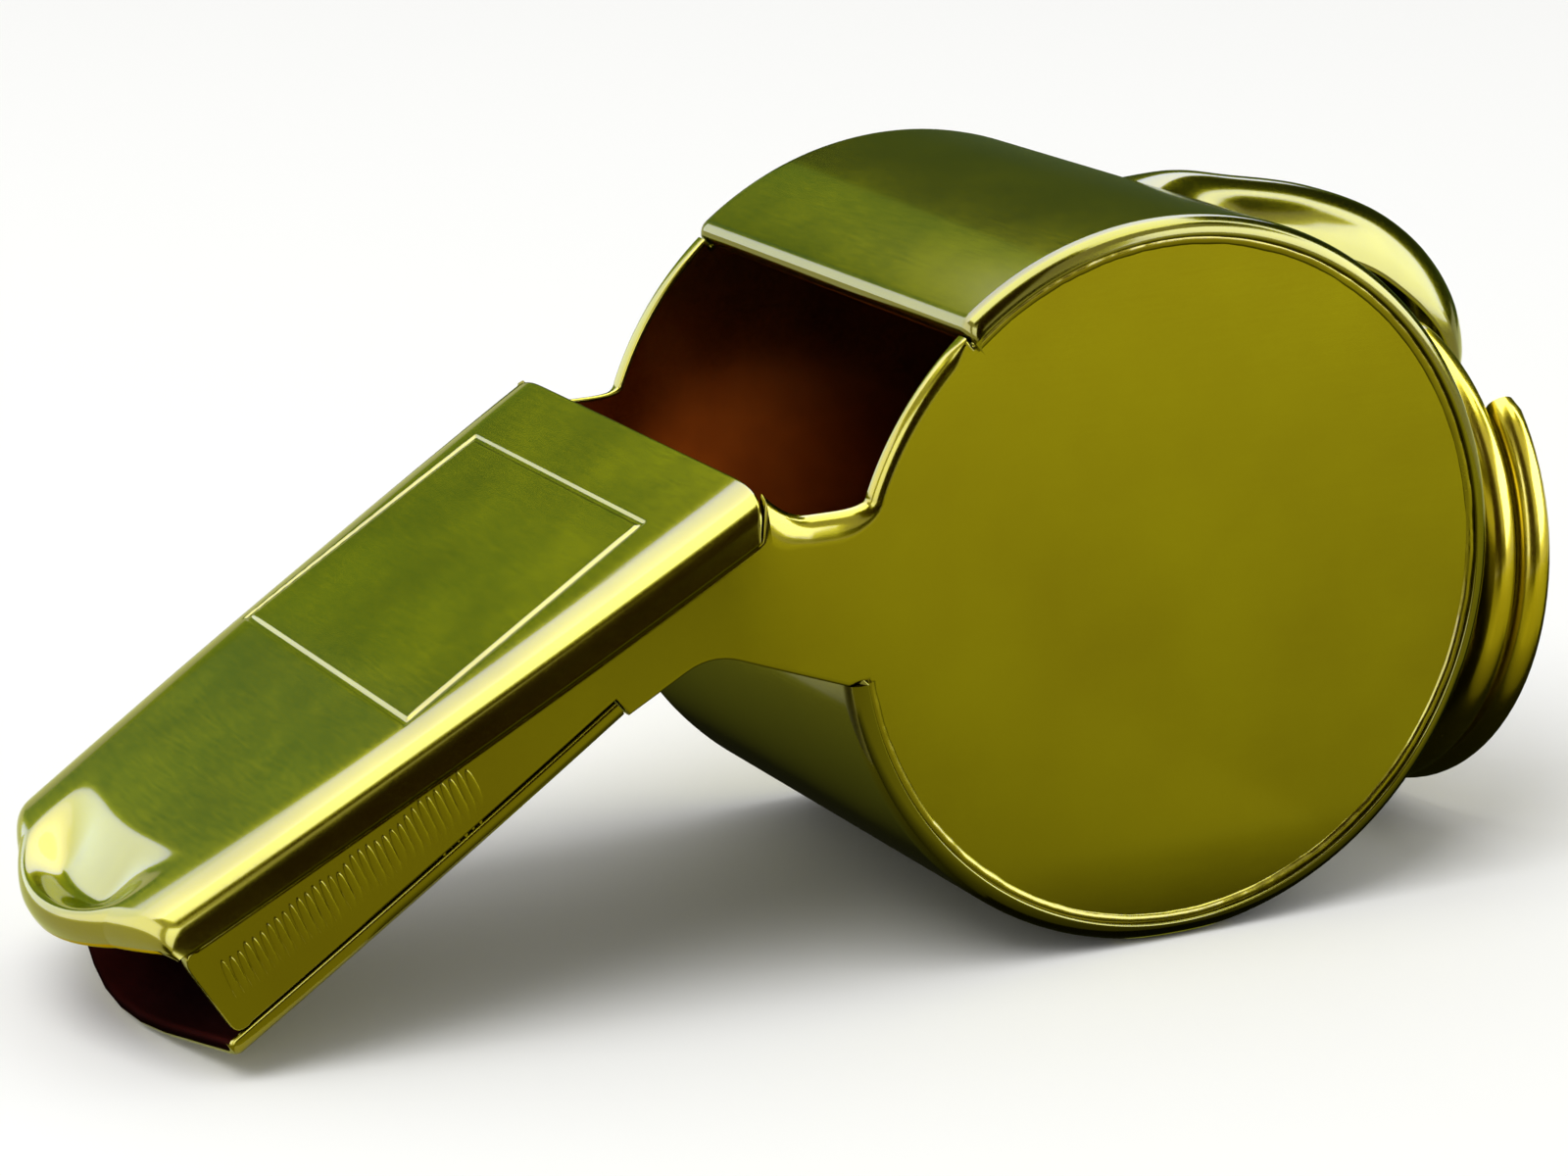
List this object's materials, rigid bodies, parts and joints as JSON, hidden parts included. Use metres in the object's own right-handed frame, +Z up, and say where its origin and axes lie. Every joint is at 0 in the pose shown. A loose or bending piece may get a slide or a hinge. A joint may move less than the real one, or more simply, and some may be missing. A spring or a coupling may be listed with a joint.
{
  "type": "pea whistle",
  "caption": "Polished brass pea whistle with a round chamber, a blown window, a tapered mouthpiece with a tooth hold, a loose cork pea and a split ring on a strap loop.",
  "frame": {"origin": "on the surface that the whistle rests on, below the middle of its length and width", "axes": "+X from the mouthpiece to the lanyard ring, +Y to the player's left when blown, +Z up"},
  "size_m": [0.0508, 0.0196, 0.023],
  "materials": {
    "polished_brass": "polished, with an olive cast",
    "brass_wire": "drawn wire, bright",
    "cork": "ground cork"
  },
  "bodies": {
    "whistle_body": {"barrel_band": "polished_brass", "side_plate_right": "polished_brass", "side_plate_left": "polished_brass", "mouthpiece_top": "polished_brass", "mouthpiece_floor": "polished_brass", "lanyard_loop": "polished_brass"},
    "pea": {"cork_pea": "cork"},
    "ring": {"split_ring": "brass_wire"}
  },
  "joints": [
    {"name": "pea_orbit", "type": "hinge", "parent": "whistle_body", "child": "pea", "pos_m": [0.00893, 0, 0.0115], "axis": [0, 1, 0], "continuous": true},
    {"name": "ring_swing", "type": "hinge", "parent": "whistle_body", "child": "ring", "pos_m": [0.02225, 0, 0.01669], "axis": [0, 1, 0], "range_deg": [-215, 3]}
  ]
}
